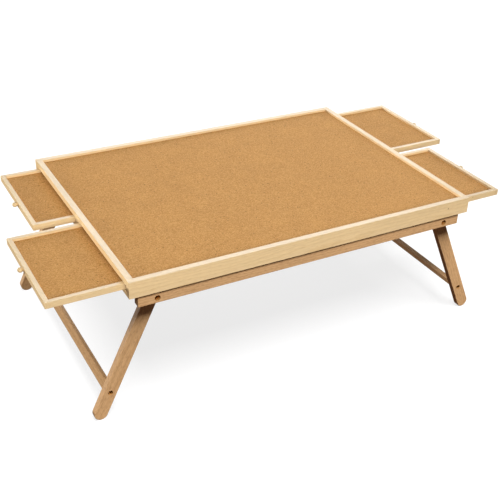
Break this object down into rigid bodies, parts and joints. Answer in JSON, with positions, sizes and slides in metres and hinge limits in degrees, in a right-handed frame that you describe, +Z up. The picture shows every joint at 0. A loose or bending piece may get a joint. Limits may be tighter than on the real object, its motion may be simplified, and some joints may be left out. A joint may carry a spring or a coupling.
{
  "type": "jigsaw puzzle table with drawers",
  "caption": "Low folding puzzle table: pine frame round a recessed cork-faced board, shallow knobbed drawers sliding from both ends, splayed beech leg frames that fold flat.",
  "frame": {"origin": "on the floor under the centre of the table's frame, with the legs standing open", "axes": "+X along the table's long side, +Y from the front rail to the rear rail, +Z up"},
  "size_m": [1.2685, 0.648, 0.358],
  "materials": {
    "pine": "sanded, clear satin lacquer",
    "beech": "sanded, clear satin lacquer",
    "cork": "fine agglomerated cork sheet, matt",
    "hardboard": "smooth pressed hardboard",
    "bolt_steel": "zinc plated",
    "screw_steel": "yellow passivated"
  },
  "bodies": {
    "table": {"centre_runner": "pine", "drawer_stop_cleats": "pine", "frame_dowels": "beech", "front_batten": "pine", "front_leg_rail": "beech", "front_rail": "pine", "front_runner": "pine", "left_end_post": "pine", "left_lower_end_rail": "pine", "left_upper_end_rail": "pine", "leg_rail_screws": "screw_steel", "pivot_bolts": "bolt_steel", "pivot_nuts": "bolt_steel", "pivot_washers": "bolt_steel", "rear_batten": "pine", "rear_leg_rail": "beech", "rear_rail": "pine", "rear_runner": "pine", "right_end_post": "pine", "right_lower_end_rail": "pine", "right_upper_end_rail": "pine", "work_board": "hardboard", "work_cork": "cork"},
    "front_left_drawer": {"front_left_drawer_back": "pine", "front_left_drawer_base": "hardboard", "front_left_drawer_cork": "cork", "front_left_drawer_front": "pine", "front_left_drawer_inner_side": "pine", "front_left_drawer_knob": "pine", "front_left_drawer_outer_side": "pine"},
    "front_right_drawer": {"front_right_drawer_back": "pine", "front_right_drawer_base": "hardboard", "front_right_drawer_cork": "cork", "front_right_drawer_front": "pine", "front_right_drawer_inner_side": "pine", "front_right_drawer_knob": "pine", "front_right_drawer_outer_side": "pine"},
    "rear_left_drawer": {"rear_left_drawer_back": "pine", "rear_left_drawer_base": "hardboard", "rear_left_drawer_cork": "cork", "rear_left_drawer_front": "pine", "rear_left_drawer_inner_side": "pine", "rear_left_drawer_knob": "pine", "rear_left_drawer_outer_side": "pine"},
    "rear_right_drawer": {"rear_right_drawer_back": "pine", "rear_right_drawer_base": "hardboard", "rear_right_drawer_cork": "cork", "rear_right_drawer_front": "pine", "rear_right_drawer_inner_side": "pine", "rear_right_drawer_knob": "pine", "rear_right_drawer_outer_side": "pine"},
    "left_leg_frame": {"front_left_leg": "beech", "rear_left_leg": "beech", "left_stretcher": "beech", "left_stretcher_screws": "screw_steel"},
    "right_leg_frame": {"front_right_leg": "beech", "rear_right_leg": "beech", "right_stretcher": "beech", "right_stretcher_screws": "screw_steel"}
  },
  "joints": [
    {"name": "left_leg_fold", "type": "hinge", "parent": "table", "child": "left_leg_frame", "pos_m": [-0.38, 0, 0.3002], "axis": [0, -1, 0], "range_deg": [0, 115]},
    {"name": "right_leg_fold", "type": "hinge", "parent": "table", "child": "right_leg_frame", "pos_m": [0.38, 0, 0.3002], "axis": [0, 1, 0], "range_deg": [0, 115]},
    {"name": "front_left_drawer_slide", "type": "slide", "parent": "table", "child": "front_left_drawer", "axis": [-1, 0, 0], "range_m": [-0.1675, 0.1125]},
    {"name": "front_right_drawer_slide", "type": "slide", "parent": "table", "child": "front_right_drawer", "axis": [1, 0, 0], "range_m": [-0.12, 0.16]},
    {"name": "rear_left_drawer_slide", "type": "slide", "parent": "table", "child": "rear_left_drawer", "axis": [-1, 0, 0], "range_m": [-0.0985, 0.1815]},
    {"name": "rear_right_drawer_slide", "type": "slide", "parent": "table", "child": "rear_right_drawer", "axis": [1, 0, 0], "range_m": [-0.187, 0.093]}
  ]
}
